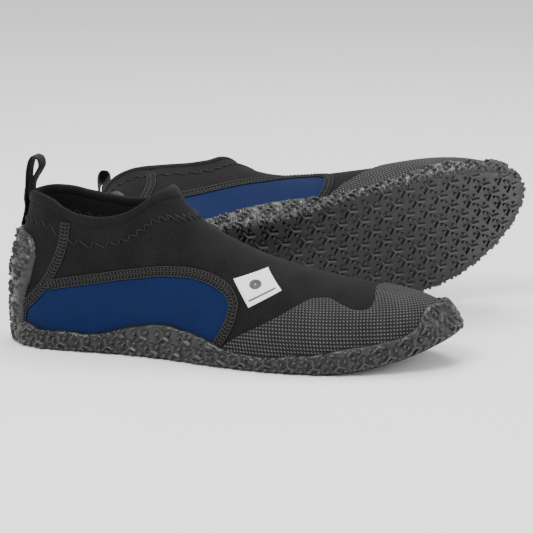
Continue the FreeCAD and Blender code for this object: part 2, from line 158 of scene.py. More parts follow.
def on_side(points, side, out):
    """Side-view points (x, z) laid on one side of the upper."""
    points = np.asarray(points, float)
    return skin(theta_of(points[:, 0], points[:, 1], side), points[:, 1], out)


def collar_height(x, y):
    tilt = (collar_inner(x) - collar_outer(x)) / 2 * y / ANKLE_HALF
    return (collar_outer(x) + collar_inner(x)) / 2 + tilt


def collar_level(theta, drop=0.0):
    """Level of the collar edge, lowered by `drop`, at each angle."""
    z = np.full(np.shape(theta), 92.0)
    for _ in range(12):
        point = base_skin(theta, z)
        z = 0.5 * z + 0.5 * (collar_height(point[..., 0], point[..., 1]) - drop)
    return z


def resample(points, gap):
    """Smooth line through side-view points, as evenly spaced points about `gap` apart."""
    points = np.asarray(points, float)
    knots = np.concatenate([[0], np.cumsum(np.linalg.norm(np.diff(points, axis=0), axis=1))])
    fine = np.linspace(0, knots[-1], int(knots[-1] * 4))
    line = np.stack([make_curve(list(zip(knots, points[:, k])))(fine) for k in (0, 1)], axis=1)
    length = np.concatenate([[0], np.cumsum(np.linalg.norm(np.diff(line, axis=0), axis=1))])
    count = max(2, int(round(length[-1] / gap)) + 1)
    even = np.linspace(0, length[-1], count)
    return np.stack([np.interp(even, length, line[:, k]) for k in (0, 1)], axis=1)


# ---------------------------------------------------------------- outlines as signed distances
def inside(points, outline):
    """Distance inside (+) or outside (-) a closed outline, for each 2-D point."""
    start = np.asarray(outline, float)
    end = np.roll(start, -1, axis=0)
    best = np.full(len(points), 1e9)
    crossings = np.zeros(len(points), int)
    for a, b in zip(start, end):
        run = b - a
        span = max(float(run @ run), 1e-12)
        u = np.clip((points - a) @ run / span, 0, 1)
        best = np.minimum(best, np.linalg.norm(points - a - u[:, None] * run, axis=1))
        if a[1] != b[1]:
            level = (points[:, 1] >= min(a[1], b[1])) & (points[:, 1] < max(a[1], b[1]))
            reach = a[0] + (points[:, 1] - a[1]) * run[0] / run[1]
            crossings += (level & (points[:, 0] < reach)).astype(int)
    return np.where(crossings % 2 == 1, best, -best)


HEEL_AREA = np.vstack([resample(HEEL_SEAM, 2), [(-30, -6), (-30, 112)]])
PANEL_AREA = np.vstack([resample(PANEL_SEAM, 2), [(8, -6)]])
TOE_AREA = np.vstack([resample(TOE_CAP_EDGE, 1.2), [(330, 68), (330, -6)]])
patch_half = resample(HEEL_PATCH, 2)
PATCH_AREA = np.vstack([patch_half, (patch_half * [-1, 1])[::-1][:-1]])


# ---------------------------------------------------------------- meshes as arrays
class Sheet:
    """Triangle mesh whose vertices carry x, y, z and the two surface coordinates."""

    def __init__(self, data, tris):
        self.data = data
        self.tris = tris

    def clip(self, field):
        """The part where field >= 0, cut exactly along field = 0."""
        within = field >= 0
        count = within[self.tris].sum(axis=1)
        data = [self.data]
        tris = [self.tris[count == 3]]
        offset = len(self.data)
        for odd_state, number in ((True, 1), (False, 2)):
            chosen = self.tris[count == number]
            if not len(chosen):
                continue
            odd = np.argmax(within[chosen] == odd_state, axis=1)
            rows = np.arange(len(chosen))
            a = chosen[rows, odd]
            b = chosen[rows, (odd + 1) % 3]
            c = chosen[rows, (odd + 2) % 3]
            cuts = []
            for other in (b, c):
                share = field[a] / (field[a] - field[other])
                data.append(self.data[a] + (self.data[other] - self.data[a]) * share[:, None])
                cuts.append(offset + rows)
                offset += len(rows)
            if odd_state:
                tris.append(np.stack([a, cuts[0], cuts[1]], axis=1))
            else:
                tris.append(np.stack([cuts[0], b, c], axis=1))
                tris.append(np.stack([cuts[0], c, cuts[1]], axis=1))
        return Sheet(np.vstack(data), np.vstack(tris)).tidy()

    def tidy(self):
        used, index = np.unique(self.tris, return_inverse=True)
        return Sheet(self.data[used], index.reshape(-1, 3))


def grid_sheet(points, u, v, flip=False):
    """Sheet from a grid of points (rows by columns) with its two coordinates."""
    rows, columns = points.shape[:2]
    data = np.concatenate([points, u[..., None], v[..., None]], axis=-1).reshape(-1, 5)
    corner = np.arange(rows * columns).reshape(rows, columns)
    a, b = corner[:-1, :-1].ravel(), corner[:-1, 1:].ravel()
    c, d = corner[1:, 1:].ravel(), corner[1:, :-1].ravel()
    tris = np.vstack([np.stack([a, b, c], 1), np.stack([a, c, d], 1)])
    return Sheet(data, tris[:, ::-1] if flip else tris)


AROUND = 460  # points round the upper


def upper_levels():
    """Levels close enough together for both the steep sides and the shallow instep."""
    even = np.arange(4, 112, 1.7)
    shallow = instep_at(np.arange(117, 294, 2.6))
    levels = np.sort(np.concatenate([even, shallow]))
    keep = [levels[0]]
    for level in levels[1:]:
        if level - keep[-1] > 0.22:
            keep.append(level)
    return np.array(keep)


def upper_grid():
    """Angles, levels and points of the upper's outer face."""
    theta = np.linspace(0, 2 * math.pi, AROUND + 1)
    tt, zz = np.meshgrid(theta, upper_levels())
    return tt, zz, skin(tt, zz)


# ---------------------------------------------------------------- from arrays to pieces
def side_turns():
    """How each shoe is turned: the right one stands, the left one lies on its outer edge."""
    right = Euler((0, 0, math.radians(-16.4))).to_matrix()
    yaw, pitch, roll = (math.radians(a) for a in (9, -6.8, -64))
    left = (Matrix.Rotation(yaw, 3, "Z") @ Matrix.Rotation(pitch, 3, "Y") @ Matrix.Rotation(roll, 3, "X"))
    return {"right": np.array(right), "left": np.array(left)}


TURNS = side_turns()


# Where the origins of the two shoes are set down, in metres: the same places as in the CAD model.
ORIGINS = {"right": np.array([-0.17102, -0.01583, 0.0001]), "left": np.array([-0.11502, 0.01117, 0.02622])}


def place(points, side):
    """Shoe millimetres to the row frame in metres."""
    mirror = np.array([1, 1 if side == "right" else -1, 1])
    return (np.asarray(points, float) * mirror) @ TURNS[side].T * MM + ORIGINS[side]


def make_piece(name, side, verts, faces, material, body=None, nodes=(), uv=None, smooth=True):
    """A mesh piece of one shoe from shoe-frame points; faces are turned over on the mirrored shoe."""
    if side == "left":
        faces = [tuple(reversed(f)) for f in faces] if not isinstance(faces, np.ndarray) else faces[:, ::-1]
    mesh = bpy.data.meshes.new(f"{side}_{name}")
    if isinstance(faces, np.ndarray):
        faces = faces.tolist()
    mesh.from_pydata(place(verts, side).tolist(), [], faces)
    if uv is not None:
        layer = mesh.uv_layers.new(name="surface")
        loops = np.empty(len(mesh.loops), dtype=np.int32)
        mesh.loops.foreach_get("vertex_index", loops)
        layer.data.foreach_set("uv", (np.asarray(uv)[loops] * MM).astype(np.float32).ravel())
    mesh.polygons.foreach_set("use_smooth", [smooth] * len(mesh.polygons))
    mesh.update()
    piece = bpy.data.objects.new(f"{side}_{name}_look", mesh)
    bpy.context.collection.objects.link(piece)
    mesh.materials.append(MATERIALS[material])
    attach(piece, body or f"{side}_shoe")
    if nodes:
        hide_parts(*[f"{side}_{node}" for node in nodes])
    return piece


def sheet_piece(name, side, sheet, material, **options):
    return make_piece(name, side, sheet.data[:, :3], sheet.tris, material, uv=sheet.data[:, 3:5], **options)


def weld(parts):
    """Several (points, faces) lists joined into one."""
    points, faces, offset = [], [], 0
    for part_points, part_faces in parts:
        points.append(np.asarray(part_points, float))
        faces += [tuple(i + offset for i in face) for face in part_faces]
        offset += len(part_points)
    return np.vstack(points), faces


# ---------------------------------------------------------------- shader helpers
class Shader:
    """Short way to build a node material."""

    def __init__(self, name):
        self.material = bpy.data.materials.new(name)
        self.material.use_nodes = True
        self.tree = self.material.node_tree
        self.bsdf = self.tree.nodes["Principled BSDF"]
        self.coords = self.tree.nodes.new("ShaderNodeTexCoord")

    def node(self, kind, **values):
        made = self.tree.nodes.new(kind)
        for key, value in values.items():
            if key in made.inputs:
                made.inputs[key].default_value = value
            else:
                setattr(made, key, value)
        return made

    def link(self, output, target):
        self.tree.links.new(output, target)

    def noise(self, scale, detail=3.0, source="Object", roughness=0.5):
        texture = self.node("ShaderNodeTexNoise", Scale=scale, Detail=detail, Roughness=roughness)
        self.link(self.coords.outputs[source], texture.inputs["Vector"])
        return texture.outputs["Fac"]

    def mapped(self, turn=0.0, scale=(1, 1, 1), source="UV"):
        mapping = self.node("ShaderNodeMapping", Scale=scale, Rotation=(0, 0, turn))
        self.link(self.coords.outputs[source], mapping.inputs["Vector"])
        return mapping.outputs["Vector"]

    def maths(self, operation, first, second=0.0):
        made = self.node("ShaderNodeMath", operation=operation)
        for slot, value in enumerate((first, second)):
            if isinstance(value, (int, float)):
                made.inputs[slot].default_value = value
            else:
                self.link(value, made.inputs[slot])
        return made.outputs[0]

    def ramp(self, fac, stops):
        made = self.node("ShaderNodeValToRGB")
        elements = made.color_ramp.elements
        while len(elements) < len(stops):
            elements.new(0.5)
        for element, (position, color) in zip(elements, stops):
            element.position = position
            element.color = (*color, 1.0)
        self.link(fac, made.inputs["Fac"])
        return made.outputs["Color"]

    def bump(self, height, distance, strength=1.0, after=None):
        made = self.node("ShaderNodeBump", Distance=distance, Strength=strength)
        self.link(height, made.inputs["Height"])
        if after is not None:
            self.link(after, made.inputs["Normal"])
        return made.outputs["Normal"]

    def finish(self, color, roughness, normal, sheen=0.0, specular=0.5):
        if isinstance(color, tuple):
            self.bsdf.inputs["Base Color"].default_value = (*color, 1.0)
        else:
            self.link(color, self.bsdf.inputs["Base Color"])
        if isinstance(roughness, float):
            self.bsdf.inputs["Roughness"].default_value = roughness
        else:
            self.link(roughness, self.bsdf.inputs["Roughness"])
        self.bsdf.inputs["Sheen Weight"].default_value = sheen
        self.bsdf.inputs["Sheen Roughness"].default_value = 0.5
        self.bsdf.inputs["Specular IOR Level"].default_value = specular
        if normal is not None:
            self.link(normal, self.bsdf.inputs["Normal"])
        return self.material


def grey(value, tint=1.0):
    return (value, value, value * tint)


def neoprene(name, dark, light, sheen=0.12):
    """Jersey-faced neoprene: a fine knitted speckle over soft mottling."""
    s = Shader(name)
    speckle = s.noise(1500, 2.0)
    mottle = s.noise(60, 3.0)
    knit = s.noise(620, 2.0)
    fac = s.maths("ADD", s.maths("MULTIPLY", speckle, 0.65), s.maths("MULTIPLY", mottle, 0.35))
    color = s.ramp(fac, [(0.34, dark), (0.66, light)])
    normal = s.bump(speckle, 0.0002, 0.6)
    normal = s.bump(knit, 0.0004, 0.35, normal)
    normal = s.bump(mottle, 0.0016, 0.25, normal)
    return s.finish(color, 0.85, normal, sheen, 0.1)


def ribbed_blue(name):
    """Blue jersey with fine slanting ribs."""
    s = Shader(name)
    wave = s.node("ShaderNodeTexWave", Scale=330, Distortion=0.6, Detail=1.0)
    wave.inputs["Detail Scale"].default_value = 2.0
    s.link(s.mapped(math.radians(-38)), wave.inputs["Vector"])
    speckle = s.noise(1400, 2.0)
    mottle = s.noise(45, 3.0)
    fac = s.maths("ADD", s.maths("MULTIPLY", wave.outputs["Fac"], 0.45), s.maths("MULTIPLY", speckle, 0.35))
    fac = s.maths("ADD", fac, s.maths("MULTIPLY", mottle, 0.3))
    color = s.ramp(fac, [(0.3, (0.0015, 0.0055, 0.028)), (0.75, (0.0035, 0.0135, 0.064))])
    normal = s.bump(wave.outputs["Fac"], 0.0003, 0.45)
    normal = s.bump(speckle, 0.0002, 0.4, normal)
    return s.finish(color, 0.8, normal, 0.02, 0.1)


TOE_ROW, TOE_STEP = 0.0023, 0.0021  # pitch of the ribs across and along the toe cap, in metres


def toe_textile(name):
    """Abrasion layer: close rows of short raised ribs, lighter on their tops."""
    s = Shader(name)
    vector = s.mapped(0.0, (1, 1, 1))
    split = s.node("ShaderNodeSeparateXYZ")
    s.link(vector, split.inputs[0])
    u, v = split.outputs[0], split.outputs[1]
    row = s.maths("MULTIPLY", v, 2 * math.pi / TOE_ROW)
    shift = s.maths("MULTIPLY", s.maths("FLOOR", s.maths("DIVIDE", v, TOE_ROW)), 0.5 * 2 * math.pi)
    along = s.maths("ADD", s.maths("MULTIPLY", s.maths("ADD", u, s.maths("MULTIPLY", v, 0.6)),
                                   2 * math.pi / TOE_STEP), shift)
    peaks = s.maths("MULTIPLY", s.maths("ADD", s.maths("MULTIPLY", s.maths("SINE", row), 0.5), 0.5),
                    s.maths("ADD", s.maths("MULTIPLY", s.maths("SINE", along), 0.5), 0.5))
    mottle = s.noise(70, 3.0)
    fac = s.maths("ADD", peaks, s.maths("MULTIPLY", s.maths("SUBTRACT", mottle, 0.5), 0.5))
    color = s.ramp(fac, [(0.12, grey(0.004)), (0.45, grey(0.025)), (0.8, grey(0.1))])
    normal = s.bump(peaks, 0.0006, 0.9)
    return s.finish(color, 0.6, normal, 0.01, 0.2)


def moulded_rubber(name, dark, light, crumple=0.0005, relief=False):
    """Moulded rubber with a crumpled, partly glossy skin; with relief on, painted shade darkens the pockets
    of its relief.
    """
    s = Shader(name)
    broad = s.noise(140, 4.0, roughness=0.6)
    fine = s.noise(900, 3.0)
    worn = s.noise(30, 3.0)
    fac = s.maths("ADD", s.maths("MULTIPLY", broad, 0.5), s.maths("MULTIPLY", worn, 0.5))
    # painted shade: the colour is keyed to the relief height carried in the second surface coordinate, so the
    # pockets come out darker
    if relief:
        split = s.node("ShaderNodeSeparateXYZ")
        s.link(s.coords.outputs["UV"], split.inputs[0])
        fac = s.maths("ADD", s.maths("MULTIPLY", fac, 0.45), s.maths("MULTIPLY", split.outputs[1], 0.28 / MM))
    color = s.ramp(fac, [(0.02 if relief else 0.35, dark), (0.65, light)])
    rough = s.ramp(broad, [(0.35, grey(0.26)), (0.65, grey(0.5))])
    normal = s.bump(broad, crumple, 0.7)
    normal = s.bump(fine, 0.00018, 0.5, normal)
    return s.finish(color, rough, normal, 0.0, 0.5)


def thread(name, dark, light):
    s = Shader(name)
    strands = s.noise(1800, 2.0)
    color = s.ramp(strands, [(0.35, dark), (0.65, light)])
    return s.finish(color, 0.65, s.bump(strands, 0.0002, 0.6), 0.01, 0.2)


def woven(name, dark, light):
    """Webbing: fine cross ribs with lengthwise strands."""
    s = Shader(name)
    ribs = s.node("ShaderNodeTexWave", Scale=260, Distortion=0.3, Detail=1.0, bands_direction="Y")
    s.link(s.mapped(), ribs.inputs["Vector"])
    strands = s.node("ShaderNodeTexWave", Scale=160, Distortion=0.4, Detail=1.0)
    s.link(s.mapped(), strands.inputs["Vector"])
    fac = s.maths("MULTIPLY", ribs.outputs["Fac"], strands.outputs["Fac"])
    color = s.ramp(fac, [(0.1, dark), (0.7, light)])
    return s.finish(color, 0.6, s.bump(fac, 0.0004, 0.8), 0.01, 0.2)


def foam_cloth(name):
    s = Shader(name)
    weave = s.noise(1200, 2.0)
    color = s.ramp(weave, [(0.35, grey(0.014)), (0.65, grey(0.035))])
    return s.finish(color, 0.85, s.bump(weave, 0.0003, 0.5), 0.1, 0.2)


def fibre_board(name):
    s = Shader(name)
    fibres = s.noise(400, 5.0)
    color = s.ramp(fibres, [(0.3, grey(0.12)), (0.7, grey(0.2))])
    return s.finish(color, 0.85, s.bump(fibres, 0.0003, 0.5), 0.05, 0.2)


def transfer(name, dark, light):
    s = Shader(name)
    grain = s.noise(700, 2.0)
    color = s.ramp(grain, [(0.3, dark), (0.7, light)])
    return s.finish(color, 0.5, s.bump(grain, 0.0001, 0.4), 0.0, 0.4)


MATERIALS = {
    "neoprene_black": neoprene("neoprene_black", grey(0.003), grey(0.011), 0.02),
    "binding": neoprene("binding", grey(0.0035), grey(0.011), 0.03),
    "lining": neoprene("lining", grey(0.002), grey(0.007), 0.01),
    "neoprene_blue": ribbed_blue("neoprene_blue"),
    "toe_textile": toe_textile("toe_textile"),
    # the wall and heel patch rubber gets painted shade in the pockets of its relief
    "rubber": moulded_rubber("rubber", grey(0.003, 1.03), grey(0.024, 1.03), relief=True),
    # painted shade: the ground between the tread lugs is a darker copy of the lug rubber, standing in for the
    # shade between the lugs
    "sole_ground_painted_shade": moulded_rubber("sole_ground_painted_shade", grey(0.003, 1.03), grey(0.008, 1.03), 0.0002),
    "tread": moulded_rubber("tread", grey(0.01, 1.03), grey(0.026, 1.03), 0.0002),
    "seam_ground": thread("seam_ground", grey(0.001), grey(0.002)),
    "seam_thread": thread("seam_thread", grey(0.011), grey(0.032)),
    "zigzag": thread("zigzag", grey(0.004), grey(0.02)),
    "webbing": woven("webbing", grey(0.001), grey(0.009)),
    "foam": foam_cloth("foam"),
    "board": fibre_board("board"),
    "emblem": transfer("emblem", grey(0.66), grey(0.74)),
    "emblem_mark": transfer("emblem_mark", grey(0.03), grey(0.05)),
}


# ---------------------------------------------------------------- upper panels
def smooth_step(value):
    value = np.clip(value, 0, 1)
    return value * value * (3 - 2 * value)


def surface_lengths(points):
    """Distances along and across the rows of a grid of points, as two coordinates."""
    along = np.linalg.norm(np.diff(points, axis=1), axis=-1)
    along = np.concatenate([np.zeros((points.shape[0], 1)), np.cumsum(along, axis=1)], axis=1)
    up = np.linalg.norm(np.diff(points, axis=0), axis=-1)
    up = np.concatenate([np.zeros((1, points.shape[1])), np.cumsum(up, axis=0)], axis=0)
    return along, up


TT, ZZ, UPPER = upper_grid()
SIDE_VIEW = np.stack([UPPER[..., 0], ZZ], axis=-1).reshape(-1, 2)
HEEL_FIELD = inside(SIDE_VIEW, HEEL_AREA)
PANEL_FIELD = inside(SIDE_VIEW, PANEL_AREA)
TOE_FIELD = inside(SIDE_VIEW, TOE_AREA)
COLLAR_FIELD = (collar_height(UPPER[..., 0], UPPER[..., 1]) - ZZ).ravel()
RIM_FIELD = (ZZ - rim_height(UPPER[..., 0])).ravel()
OUTER_SIDE = (math.pi - TT).ravel() * 60


def panel(field, out):
    """The upper's sheet, moved out a little, cut to a field and to the collar and rim lines."""
    sheet = grid_sheet(skin(TT, ZZ, out), UPPER[..., 0], ZZ)
    fields = np.stack([field, COLLAR_FIELD, RIM_FIELD + 3], axis=1)
    return sheet.clip(fields.min(axis=1))


def quilt(field, depth=0.5, reach=6.0):
    """Panels dip gently where they meet a seam."""
    return -depth * (1 - smooth_step(np.abs(field) / reach))


def make_panels(side):
    dip = np.minimum(quilt(HEEL_FIELD), quilt(PANEL_FIELD)).reshape(TT.shape)
    vamp = panel(-np.maximum(HEEL_FIELD, PANEL_FIELD), dip)
    sheet_piece("vamp_panel", side, vamp, "neoprene_black", nodes=["vamp_panel"])
    sheet_piece("heel_panel", side, panel(HEEL_FIELD, dip), "neoprene_black", nodes=["heel_panel"])
    blue = np.minimum(PANEL_FIELD, -HEEL_FIELD)
    for label, half in (("lateral", OUTER_SIDE), ("medial", -OUTER_SIDE)):
        cut = panel(np.minimum(blue, half), dip)
        sheet_piece(f"side_panel_{label}", side, cut, "neoprene_blue", nodes=[f"side_panel_{label}"])


def make_toe_cap(side):
    out = 1.1 * smooth_step(TOE_FIELD / 1.6 + 0.4)
    points = skin(TT, ZZ, out.reshape(TT.shape))
    along, up = surface_lengths(points)
    sheet = grid_sheet(points, along, up)
    cap = sheet.clip(np.minimum(TOE_FIELD, RIM_FIELD + 3))
    sheet_piece("toe_cap", side, cap, "toe_textile", nodes=["toe_cap"])


def make_lining(side):
    """Inner face of the upper, with the turned facing under the collar."""
    theta = np.linspace(0, 2 * math.pi, 261)
    top = collar_level(theta, 2.0)
    share = np.linspace(0, 1, 60)[:, None]
    low = skin(theta, np.full(theta.shape, 12.0), -NEOPRENE)
    low = spring(low[:, 0]) + INSIDE_FLOOR
    levels = low[None, :] + (top - low)[None, :] * share
    points = skin(np.broadcast_to(theta, levels.shape), levels, np.full(levels.shape, -NEOPRENE))
    sheet = grid_sheet(points, points[..., 0], levels, flip=True)
    sheet_piece("lining", side, sheet, "lining")
    drop = np.linspace(23, 4, 14)[:, None]
    facing_levels = np.stack([collar_level(theta, d[0]) for d in drop])
    bulge = -3.3 - 0.9 * np.sin(np.pi * np.clip((23 - drop) / 19, 0, 1)) ** 0.3
    out = np.broadcast_to(bulge, facing_levels.shape)
    points = skin(np.broadcast_to(theta, facing_levels.shape), facing_levels, out)
    facing = grid_sheet(points, points[..., 0], facing_levels, flip=True)
    sheet_piece("collar_hem", side, facing, "binding", nodes=["collar_hem"])


def make_binding(side):
    """Rolled edge of the foot opening."""
    theta = np.linspace(0, 2 * math.pi, 321)[:-1]
    ring = np.linspace(0, 2 * math.pi, 29)[:-1]
    rows = []
    for angle in ring:
        across = math.copysign(abs(math.cos(angle)) ** 0.75, math.cos(angle))
        height = math.copysign(abs(math.sin(angle)) ** 0.85, math.sin(angle))
        level = collar_level(theta, 2.9 - 3.5 * height)
        rows.append(skin(theta, level, np.full(theta.shape, -1.5 + 2.5 * across)))
    points = np.array(rows)
    count, around = points.shape[:2]
    faces = []
    for i in range(count):
        for j in range(around):
            i2, j2 = (i + 1) % count, (j + 1) % around
            faces.append((i * around + j, i2 * around + j, i2 * around + j2, i * around + j2))
    flat = points.reshape(-1, 3)
    uv = np.column_stack([np.tile(np.arange(around), count), np.repeat(np.arange(count), around)])
    outward = [face[::-1] for face in faces]
    make_piece("collar_binding", side, flat, outward, "binding", nodes=["collar_binding"], uv=uv)


# ---------------------------------------------------------------- stitching
def rod(points, radius, sides=6):
    """Closed round rod along points, tapered at both ends."""
    points = np.asarray(points, float)
    tangents = np.gradient(points, axis=0)
    tangents /= np.maximum(np.linalg.norm(tangents, axis=1, keepdims=True), 1e-9)
    helper = np.array([0.31, 0.55, 0.77])
    first = np.cross(tangents, helper)
    first /= np.maximum(np.linalg.norm(first, axis=1, keepdims=True), 1e-9)
    second = np.cross(tangents, first)
    angles = np.linspace(0, 2 * math.pi, sides + 1)[:-1]
    count = len(points)
    widths = np.full(count, radius)
    widths[0] = widths[-1] = radius * 0.45
    spokes = np.cos(angles)[None, :, None] * first[:, None] + np.sin(angles)[None, :, None] * second[:, None]
    rings = points[:, None] + widths[:, None, None] * spokes
    faces = []
    for i in range(count - 1):
        for j in range(sides):
            j2 = (j + 1) % sides
            faces.append((i * sides + j, i * sides + j2, (i + 1) * sides + j2, (i + 1) * sides + j))
    faces.append(tuple(range(sides))[::-1])
    faces.append(tuple((count - 1) * sides + j for j in range(sides)))
    return rings.reshape(-1, 3), faces


def side_normals(line):
    """Unit sideways directions of a side-view line."""
    run = np.gradient(line, axis=0)
    run /= np.linalg.norm(run, axis=1, keepdims=True)
    return np.stack([-run[:, 1], run[:, 0]], axis=1), run


def flatlock(line, side_sign, keep):
    """Ground strip and thread work of a flatlock seam along a side-view line."""
    spine = resample(line, 1.0)
    normals, _ = side_normals(spine)
    offsets = np.linspace(-2.9, 2.9, 9)
    rows = []
    for offset in offsets:
        crown = 0.45 * (1 - (offset / 2.9) ** 4)
        rows.append(on_side(spine + normals * offset, side_sign, np.full(len(spine), crown)))
    points = np.array(rows)
    ok = keep(spine)
    strip = grid_sheet(points, np.zeros(points.shape[:2]), np.zeros(points.shape[:2]), flip=side_sign < 0)
    strip = strip.clip(np.tile(ok, len(offsets)))
    threads = []
    stations = resample(line, 2.3)
    cross, run = side_normals(stations)
    live = keep(stations) > 0
    for i in range(len(stations)):
        if not live[i]:
            continue
        for row, lean in ((-1.35, 0.75), (1.35, -0.75)):
            start = stations[i] + cross[i] * (row - 1.05) - run[i] * lean
            end = stations[i] + cross[i] * (row + 1.05) + run[i] * lean
            path = np.linspace(start, end, 4)
            lift = np.array([0.45, 0.95, 0.95, 0.45])
            threads.append(rod(on_side(path, side_sign, lift), 0.58))
    for offset, radius in ((-2.75, 0.4), (0.0, 0.42), (2.75, 0.4)):
        chosen = (spine + normals * offset)[ok > 0]
        if len(chosen) > 3:
            threads.append(rod(on_side(chosen, side_sign, np.full(len(chosen), 0.5)), radius))
    return strip, weld(threads)


def above_rim(line):
    """Field that keeps a seam between the rubber and the collar binding."""
    line = np.asarray(line, float)
    return np.minimum(line[:, 1] - rim_height(line[:, 0]) + 1.5, collar_outer(line[:, 0]) - 6.5 - line[:, 1])


def seam_piece(name, side, line, side_sign, keep):
    strip, (points, faces) = flatlock(line, side_sign, keep)
    sheet_piece(name, side, strip, "seam_ground", nodes=[name])
    make_piece(name + "_thread", side, points, faces, "seam_thread")


def make_seams(side):
    def beyond_heel(line):
        return np.minimum(above_rim(line), -inside(np.asarray(line, float), HEEL_AREA) - 2.6)
    for label, sign in (("lateral", -1), ("medial", 1)):
        seam_piece(f"heel_seam_{label}", side, HEEL_SEAM[1:-1], sign, above_rim)
        seam_piece(f"panel_seam_{label}", side, PANEL_SEAM[:-1], sign, beyond_heel)


def make_zigzag(side):
    """Zigzag row of thread below the collar, outside and inside."""
    for label, drop, depth, out in (("outside", 17.0, 4.6, 0.25), ("inside", 17.0, 4.0, -4.4)):
        threads = []
        pitch = 5.0 / 220 * 2 * math.pi
        theta = np.arange(0, 2 * math.pi, pitch / 2)
        for i in range(len(theta) - 1):
            swing = depth / 2 if i % 2 else -depth / 2
            high, low = drop - swing, drop + swing
            angles = np.linspace(theta[i], theta[i + 1], 5)
            levels = np.array([collar_level(a, d) for a, d in zip(angles, np.linspace(high, low, 5))])
            lift = out + np.array([-0.35, 0.05, 0.12, 0.05, -0.35]) * (1 if out > 0 else -1)
            threads.append(rod(skin(angles, levels, lift), 0.5, 5))
        points, faces = weld(threads)
        make_piece(f"zigzag_{label}", side, points, faces, "zigzag")


# ---------------------------------------------------------------- emblem
def make_emblem(side):
    """Light patch with a plain bar and a plain disc."""
    a, b, c, d = (np.array(p, float) for p in EMBLEM_CORNERS)

    def spot(u, v):
        top = a + (b - a) * u[..., None]
        bottom = d + (c - d) * u[..., None]
        return top + (bottom - top) * v[..., None]

    def patch(us, vs, out):
        uu, vv = np.meshgrid(us, vs)
        flat = spot(uu, vv).reshape(-1, 2)
        edge = np.minimum(np.minimum(uu, 1 - uu), np.minimum(vv, 1 - vv)).ravel()
        lift = out * smooth_step(edge * 22 + 0.25)
        return grid_sheet(on_side(flat, -1, lift).reshape(*uu.shape, 3), uu, vv, flip=True)

    line = np.linspace(0, 1, 33)
    sheet_piece("emblem_patch", side, patch(line, line, 0.55), "emblem", nodes=["emblem_patch"])
    parts = []
    uu, vv = np.meshgrid(np.linspace(0.1, 0.9, 25), np.linspace(0.8, 0.86, 4))
    bar = grid_sheet(on_side(spot(uu, vv).reshape(-1, 2), -1, np.full(uu.size, 0.62)).reshape(*uu.shape, 3),
                     uu, vv, flip=True)
    parts.append((bar.data[:, :3], bar.tris.tolist()))
    rr, aa = np.meshgrid(np.linspace(0.02, 0.17, 5), np.linspace(0, 2 * math.pi, 33))
    disc_u, disc_v = 0.5 + rr * np.cos(aa), 0.42 + rr * np.sin(aa)
    flat = spot(disc_u, disc_v).reshape(-1, 2)
    disc = grid_sheet(on_side(flat, -1, np.full(len(flat), 0.64)).reshape(*rr.shape, 3), rr, aa, flip=False)
    parts.append((disc.data[:, :3], disc.tris.tolist()))
    points, faces = weld(parts)
    make_piece("emblem_mark", side, points, faces, "emblem_mark")


# ---------------------------------------------------------------- rubber outsole
LUG_PITCH, LUG_ROW, LUG_ARM = 15.5, 10.0, 5.7
LUG_MARGIN = 7.2  # from the back of the sole to the first lug
STUD_REACH, STUD_RADIUS = 4.4, 1.15
KNOB_PITCH = 5.6  # spacing of the round knobs along the foot of the wall
PATCH_GIRTH = 1.18  # width of the patch along the curve of the heel, against its width from behind


def segment_distance(points, start, end):
    """Distance of each 2-D point from a segment."""
    run = end - start
    u = np.clip((points - start) @ run / (run @ run), 0, 1)
    return np.linalg.norm(points - start - u[:, None] * run, axis=1)


def raised(distance, radius, height):
    """Flat-topped bump of a given radius standing in a shallow pocket."""
    bump = height * smooth_step((radius - distance) / (radius * 0.45))
    pocket = -0.5 * smooth_step((radius + 1.2 - distance) / 0.9)
    return bump, pocket


def star_field(points, centres, turn, height, scale=1.0, knobs=()):
    """Y-shaped ridges with a dot between each pair of arms, and single knobs."""
    bumps = np.zeros(len(points))
    pockets = np.zeros(len(points))

    def add(near, distance, radius):
        bump, pocket = raised(distance, radius, height)
        bumps[near] = np.maximum(bumps[near], bump)
        pockets[near] = np.minimum(pockets[near], pocket)

    for centre in centres:
        near = np.linalg.norm(points - centre, axis=1) < 10 * scale
        local = points[near]
        for k in range(3):
            angle = turn + k * 2 * math.pi / 3
            arm = np.array([math.cos(angle), math.sin(angle)])
            fork = np.array([math.cos(angle + math.pi / 3), math.sin(angle + math.pi / 3)])
            add(near, segment_distance(local, centre, centre + arm * 4.6 * scale), 0.85)
            add(near, np.linalg.norm(local - centre - fork * 4.9 * scale, axis=1), 1.5)
    for knob in knobs:
        near = np.linalg.norm(points - knob, axis=1) < 4
        add(near, np.linalg.norm(points[near] - knob, axis=1), 1.5)
    return bumps + np.where(bumps > 0, pockets * (1 - bumps / height), pockets)


def crumple(points, seed, scale):
    """Smooth pseudo-random relief in -1..1 from a few crossed waves."""
    rng = np.random.default_rng(seed)
    total = np.zeros(len(points))
    for _ in range(14):
        direction = rng.normal(size=2)
        direction /= np.linalg.norm(direction)
        length = scale * rng.uniform(0.6, 2.2)
        phase = rng.uniform(0, 2 * math.pi)
        bend = 1.3 * np.sin(points @ direction[::-1] * 2 * math.pi / (length * 2.7) + phase)
        total += np.sin(points @ direction * 2 * math.pi / length + phase + bend)
    return total / 5.0


